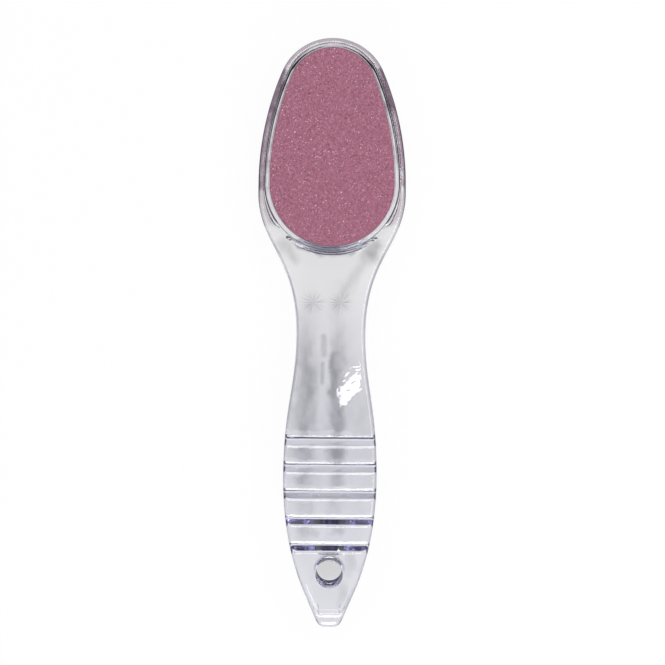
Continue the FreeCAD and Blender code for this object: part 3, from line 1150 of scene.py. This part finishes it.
def clear_plastic():
    material, tree = new_material("clear_plastic")
    where = add_node(tree, "ShaderNodeTexCoord").outputs["Object"]
    haze = map_range(tree, noise(tree, where, 160.0, 3.0)["Fac"], (0.35, 0.75), (0.0, 0.03))
    wave = times(tree, noise(tree, where, 55.0, 1.0)["Fac"], 0.5)
    near_spot = mark(tree, where, (3.0, -12.0), (9.0, -24.0), 13.0)
    dents = times(tree, noise(tree, where, 230.0, 2.0)["Fac"], near_spot)
    relief = calc(tree, "MULTIPLY_ADD", dents, 1.1, wave)
    bump = put(tree, "ShaderNodeBump", Strength=0.2, Distance=0.4 * mm, Height=relief)
    shader = put(tree, "ShaderNodeBsdfPrincipled", Base_Color=plastic_colour(tree, where),
                 Roughness=haze, IOR=styrene_ior, Transmission_Weight=1.0, Normal=bump.outputs["Normal"])
    tint = put(tree, "ShaderNodeVolumeAbsorption", Color=toner, Density=toner_density)
    put(tree, "ShaderNodeOutputMaterial", Surface=shader.outputs[0], Volume=tint.outputs[0])
    return material


plastic = clear_plastic()
print(plastic.name, "nodes", len(plastic.node_tree.nodes))

# %% Cut the grooves and dress the moulding
clear_body = made_by_nodes(clear_body, groove_tree(plastic), "clear_moulding", groove_sizes)
for polygon in clear_body.data.polygons:
    polygon.use_smooth = True
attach(clear_body, "root")
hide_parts("clear_handle")
print("clear moulding triangles", sum(len(p.vertices) - 2 for p in clear_body.data.polygons))

# %% [markdown]
# ## Abrasive pads
# Each pad is a sheet of heavy paper with grains set in a mauve resin. A bump texture could stand for
# the grains, but they would vanish at a slant. Here the resin is a thin plate, and Geometry Nodes
# scatter thousands of small faceted grains over its outer face. Each grain keeps a tone of its own,
# which the material turns into a shade. The palest few get a near-white painted glint and less roughness.

# %% Mauve grit material
glint_tone = 0.985


def mauve_grit():
    material, tree = new_material("mauve_grit")
    where = add_node(tree, "ShaderNodeTexCoord").outputs["Object"]
    tone = add_node(tree, "ShaderNodeAttribute", attribute_name="tone").outputs["Fac"]
    shades = put(tree, "ShaderNodeValToRGB", Fac=tone)
    ramp = shades.color_ramp.elements
    # Tones run from dark to pale mauve at random; above the glint tone they run to near white, a painted
    # glint.
    ramp[0].position, ramp[0].color = 0.0, (0.17, 0.050, 0.085, 1)
    ramp[1].position, ramp[1].color = 1.0, (1.0, 0.90, 0.94, 1)
    ramp.new(0.45).color = (0.345, 0.122, 0.187, 1)
    ramp.new(0.93).color = (0.52, 0.22, 0.31, 1)
    ramp.new(glint_tone).color = (0.68, 0.42, 0.50, 1)
    worn = map_range(tree, noise(tree, where, 900.0, 3.0)["Fac"], (0.3, 0.7), (0.8, 1.2))
    colour = scaled(tree, shades.outputs["Color"], worn)
    glint = calc(tree, "GREATER_THAN", tone, glint_tone)
    gloss = map_range(tree, glint, (0.0, 1.0), (0.6, 0.2))
    shader = put(tree, "ShaderNodeBsdfPrincipled", Base_Color=colour, Roughness=gloss)
    put(tree, "ShaderNodeOutputMaterial", Surface=shader.outputs[0])
    return material


grit = mauve_grit()
print(grit.name, "nodes", len(grit.node_tree.nodes))


# %% Grain tree
def random_value(tree, kind, low, high, seed):
    node = add_node(tree, "FunctionNodeRandomValue", data_type=kind)
    first = 0 if kind == "FLOAT_VECTOR" else 2
    node.inputs[first].default_value = low
    node.inputs[first + 1].default_value = high
    fill(tree, node, Seed=seed)
    return node.outputs[0 if kind == "FLOAT_VECTOR" else 1]


grain_sizes = {"Density": 5.6e6, "Grain radius": 0.17 * mm, "Outward": 1.0, "Seed": 4}
grain_lean, resin_tone = 0.3, 0.42
least_grain, largest_grain = (0.9, 0.9, 0.5), (1.7, 1.7, 0.85)


def grain_tree(material):
    tree, given = new_tree("grit_grains", grain_sizes)
    seed = given["Seed"]
    facing = parts(tree, add_node(tree, "GeometryNodeInputNormal").outputs[0])
    outer = calc(tree, "GREATER_THAN", times(tree, facing["Z"], given["Outward"]), 0.5)
    spots = put(tree, "GeometryNodeDistributePointsOnFaces", Mesh=given["Geometry"],
                Selection=outer, Density=given["Density"], Seed=seed)
    grain = put(tree, "GeometryNodeMeshUVSphere", Segments=4, Rings=2, Radius=given["Grain radius"])
    first, full = (-grain_lean, -grain_lean, 0), (grain_lean, grain_lean, 2 * math.pi)
    turn = random_value(tree, "FLOAT_VECTOR", first, full, seed)
    size = random_value(tree, "FLOAT_VECTOR", least_grain, largest_grain, seed)
    copies = put(tree, "GeometryNodeInstanceOnPoints", Points=spots.outputs["Points"],
                 Instance=grain.outputs["Mesh"], Rotation=turn, Scale=size)
    tone = random_value(tree, "FLOAT", 0.0, 1.0, seed)
    joined = add_node(tree, "GeometryNodeJoinGeometry")
    feed(tree, joined.inputs[0], keep_value(tree, copies.outputs[0], "tone", tone, "INSTANCE"))
    feed(tree, joined.inputs[0], keep_value(tree, given["Geometry"], "tone", resin_tone, "POINT"))
    return end_tree(tree, joined.outputs[0], material)


grains = grain_tree(grit)
print(grains.name, "nodes", len(grains.nodes))


# %% Resin plates and their grains
def resin_plate(name, low, high):
    """Egg-shaped plate, a little smaller than the pad, between two heights."""
    ring = [egg_point(f, -0.3) for f in facings]
    count = len(ring)
    places = [(x * mm, y * mm, z) for z in (low, high) for x, y in ring]
    sides = [(i, (i + 1) % count, count + (i + 1) % count, count + i) for i in range(count)]
    mesh = mesh_from(name, places, [tuple(range(count)), tuple(range(count, 2 * count))] + sides)
    for polygon in mesh.polygons:
        polygon.use_smooth = False
    return placed(name, mesh)


resin_height = 0.17 * mm
for face_name, outward_sign, seed in (("front", 1.0, 4), ("rear", -1.0, 9)):
    (_, _, bottom), (_, _, top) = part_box(face_name + "_grit_coat")
    low, high = (bottom, bottom + resin_height) if outward_sign > 0 else (top - resin_height, top)
    pad = made_by_nodes(
        resin_plate(face_name + "_resin", low, high), grains, face_name + "_grit",
        {**grain_sizes, "Outward": outward_sign, "Seed": seed})
    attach(pad, "root")
    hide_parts(face_name + "_grit_coat")
    print(pad.name, "triangles", sum(len(p.vertices) - 2 for p in pad.data.polygons))

# %% [markdown]
# ## Paper and film under the grains
# The resin sits on heavy dyed paper, and a milky double-sided film holds the paper in its seat. Both
# are flat plates, so the solids' own shapes serve, and only their finish is made here. One recipe
# gives both: noise, drawn out into fibres for the paper, varies the colour and raises the surface.


# %% Paper and film
def sheet_material(name, pale, dark, grain_size, stretch, rough):
    material, tree = new_material(name)
    where = add_node(tree, "ShaderNodeTexCoord").outputs["Object"]
    fibres = put(tree, "ShaderNodeMapping", Vector=where, Scale=stretch)
    grain = noise(tree, fibres.outputs[0], grain_size, 4.0)["Fac"]
    bump = put(tree, "ShaderNodeBump", Strength=0.3, Distance=0.1 * mm, Height=grain)
    shader = put(tree, "ShaderNodeBsdfPrincipled", Roughness=rough,
                 Base_Color=blend(tree, grain, dark, pale), Normal=bump.outputs["Normal"])
    put(tree, "ShaderNodeOutputMaterial", Surface=shader.outputs[0])
    return material


paper = sheet_material(
    "dyed_paper", (0.36, 0.20, 0.25, 1), (0.20, 0.09, 0.13, 1), 700.0, (1.0, 0.35, 1.0), 0.9)
film = sheet_material(
    "milky_film", (0.40, 0.28, 0.33, 1), (0.28, 0.18, 0.23, 1), 300.0, (1.0, 1.0, 1.0), 0.5)
for layer, sheet in (("backing", paper), ("adhesive", film)):
    for face_name in ("front", "rear"):
        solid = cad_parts[face_name + "_" + layer]
        solid.data.materials.clear()
        solid.data.materials.append(sheet)
        print(face_name, layer, "dressed in", sheet.name)
